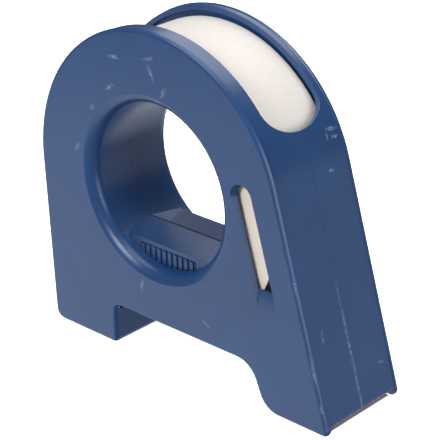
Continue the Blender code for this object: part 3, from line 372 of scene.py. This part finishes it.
def merged_copy(node):
    """Bmesh of a CAD node with its loose triangles merged into whole faces, and a shell's parting faces moved
    to the seam."""
    shape = bmesh.new()
    shape.from_mesh(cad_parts[node].data)
    bmesh.ops.remove_doubles(shape, verts=shape.verts, dist=MERGE)
    if node in ("near_shell", "far_shell"):
        for vert in shape.verts:
            if abs(abs(vert.co.y) - PARTING) < MERGE:
                vert.co.y = math.copysign(SEAM, vert.co.y)
    bmesh.ops.dissolve_limit(shape, angle_limit=FLAT_ANGLE, verts=shape.verts, edges=shape.edges)
    return shape


def wound_roll():
    """Wound tape: a spun ring whose sides show the layers as fine steps."""
    count = int((ROLL_RADIUS - CORE_OUTER) / LAYER_PITCH)
    inner = CORE_OUTER + CORE_CLEARANCE
    side = []
    for k in range(count + 1):
        radius = inner + (ROLL_RADIUS - inner) * k / count
        side.append((radius, ROLL_HALF - LAYER_SHIFT * random.random()))
    profile = side + [(radius, -ROLL_HALF + LAYER_SHIFT * random.random()) for radius, _ in reversed(side)]
    shape = bmesh.new()
    chain = [shape.verts.new(HUB + Vector((radius, depth, 0.0))) for radius, depth in profile]
    edges = [shape.edges.new(pair) for pair in zip(chain, chain[1:] + chain[:1])]
    bmesh.ops.spin(shape, geom=chain + edges, cent=HUB, axis=ACROSS, angle=math.tau, steps=ROLL_STEPS,
                   use_merge=True)
    bmesh.ops.recalc_face_normals(shape, faces=shape.faces)
    for face in shape.faces:
        face.material_index = 1 if abs(face.normal.y) > SIDEWAYS else 0
    return shape


BLUE = moulded_blue()
CREPE = crepe_paper()
EDGES = wound_edges()
BOARD = core_board()
GREY = plain_moulding("moulded_grey_nylon", "#5B5E63", "#6B6E73", roughness=0.5)
BLACK = plain_moulding("moulded_black_nylon", "#17181B", "#212327", roughness=0.5)
RUBBER = plain_moulding("black_rubber", "#141414", "#1F1E1E", roughness=0.75)
GROUND = brushed_steel("ground_blade_steel", roughness=0.24)
DRAWN = brushed_steel("drawn_steel", roughness=0.3)

# Pieces that keep the CAD shape: name, node, body, finish
COPIES = (
    ("housing_near", "near_shell", "near_case", BLUE),
    ("housing_far", "far_shell", "far_case", BLUE),
    ("button_ribbed", "latch_button", "button", BLUE),
    ("core_tube", "tape_core", "roll", BOARD),
    ("hub_sleeve", "roll_hub", "roll", GREY),
    ("drag_leaf", "hub_drag_spring", "far_case", DRAWN),
    ("tape_strip", "tape_leader", "far_case", CREPE),
    ("roller_body", "pressure_roller", "roller", GREY),
    ("roller_sleeve", "roller_tyre", "roller", RUBBER),
    ("roller_pin", "roller_axle", "far_case", DRAWN),
    ("cutter_carrier", "blade_holder", "far_case", BLACK),
    ("cutter_teeth", "cutter_blade", "far_case", GROUND),
    ("carrier_screw_low", "holder_screw_low", "far_case", DRAWN),
    ("carrier_screw_high", "holder_screw_high", "far_case", DRAWN),
    ("button_spring", "latch_spring", "near_case", DRAWN),
    ("jaw_arm_left", "latch_jaw_left", "jaw_left", GREY),
    ("jaw_arm_right", "latch_jaw_right", "jaw_right", GREY),
    ("jaw_pivot_left", "jaw_pin_left", "near_case", DRAWN),
    ("jaw_pivot_right", "jaw_pin_right", "near_case", DRAWN),
)
pieces = {}
for name, node, body, finish in COPIES:
    pieces[name] = smooth_piece(name, merged_copy(node), (finish,), body, node)
smooth_piece("tape_wound", wound_roll(), (CREPE, EDGES), "roll", "tape_roll")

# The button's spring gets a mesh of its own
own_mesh(pieces["button_spring"])


def floor():
    """Plain pale floor that only the camera sees: the bounce lights give what light it would throw back."""
    shape = bmesh.new()
    bmesh.ops.create_grid(shape, x_segments=1, y_segments=1, size=FLOOR_REACH)
    mesh = bpy.data.meshes.new("floor")
    shape.to_mesh(mesh)
    shape.free()
    material, _, shader, _ = new_material("pale_floor", roughness=0.8)
    shader.inputs["Base Color"].default_value = colour("#F5F5F4")
    mesh.materials.append(material)
    thing = bpy.data.objects.new("floor", mesh)
    bpy.context.scene.collection.objects.link(thing)
    thing.visible_diffuse = False
    thing.visible_glossy = False
    thing.visible_shadow = False
    return thing


def soft_light(name, azimuth, elevation, distance, size, power):
    """Square soft box that faces the object."""
    light = bpy.data.lights.new(name, 'AREA')
    light.shape = 'SQUARE'
    light.size = size
    light.energy = power
    thing = bpy.data.objects.new(name, light)
    turn = math.radians(azimuth)
    rise = math.radians(elevation)
    away = Vector((math.sin(turn) * math.cos(rise), -math.cos(turn) * math.cos(rise), math.sin(rise)))
    thing.location = CAMERA_TARGET + away * distance
    thing.rotation_mode = 'QUATERNION'
    thing.rotation_quaternion = (-away).to_track_quat('-Z', 'Y')
    bpy.context.scene.collection.objects.link(thing)
    return thing


def studio(ground):
    """Surroundings that are white to look at but light the object dimly, and the soft boxes. The sweep lights
    the floor alone, with no shadow of the object."""
    world = bpy.data.worlds.new("studio")
    world.use_nodes = True
    sky = world.node_tree.nodes["Background"]
    sky.inputs["Color"].default_value = (1.0, 1.0, 1.0, 1.0)
    seen = add(world.node_tree, "LightPath").outputs["Is Camera Ray"]
    glow = add(world.node_tree, "MapRange", {0: seen, 3: SKY_GLOW, 4: SKY_SEEN})
    world.node_tree.links.new(glow.outputs[0], sky.inputs["Strength"])
    bpy.context.scene.world = world
    lights = {row[0]: soft_light(*row) for row in LIGHTS}
    for name in UNMIRRORED:
        lights[name].visible_glossy = False
    for name in MIRRORED_ONLY:
        lights[name].visible_diffuse = False
    lights["bounce_behind"].data.color = COOL_TINT
    floor_only = bpy.data.collections.new("sweep_lights")
    floor_only.objects.link(ground)
    lights["sweep"].light_linking.receiver_collection = floor_only
    lights["sweep"].light_linking.blocker_collection = floor_only
    bpy.context.scene.view_settings.view_transform = 'Standard'


def camera():
    """Camera at the photograph's viewing angle."""
    back = Vector((math.sin(CAMERA_AZIMUTH) * math.cos(CAMERA_ELEVATION),
                   -math.cos(CAMERA_AZIMUTH) * math.cos(CAMERA_ELEVATION), math.sin(CAMERA_ELEVATION)))
    right = (-back).cross(Vector((0.0, 0.0, 1.0))).normalized()
    up = right.cross(-back)
    aside = right * math.cos(CAMERA_ROLL) + up * math.sin(CAMERA_ROLL)
    upward = up * math.cos(CAMERA_ROLL) - right * math.sin(CAMERA_ROLL)
    data = bpy.data.cameras.new("camera")
    data.lens = CAMERA_LENS
    data.sensor_width = CAMERA_SENSOR
    data.clip_start = CAMERA_NEAR
    data.clip_end = CAMERA_FAR
    thing = bpy.data.objects.new("camera", data)
    turn = Matrix((aside, upward, back)).transposed()
    thing.matrix_world = Matrix.Translation(CAMERA_TARGET + back * CAMERA_DISTANCE) @ turn.to_4x4()
    bpy.context.scene.collection.objects.link(thing)
    bpy.context.scene.camera = thing


studio(floor())
camera()
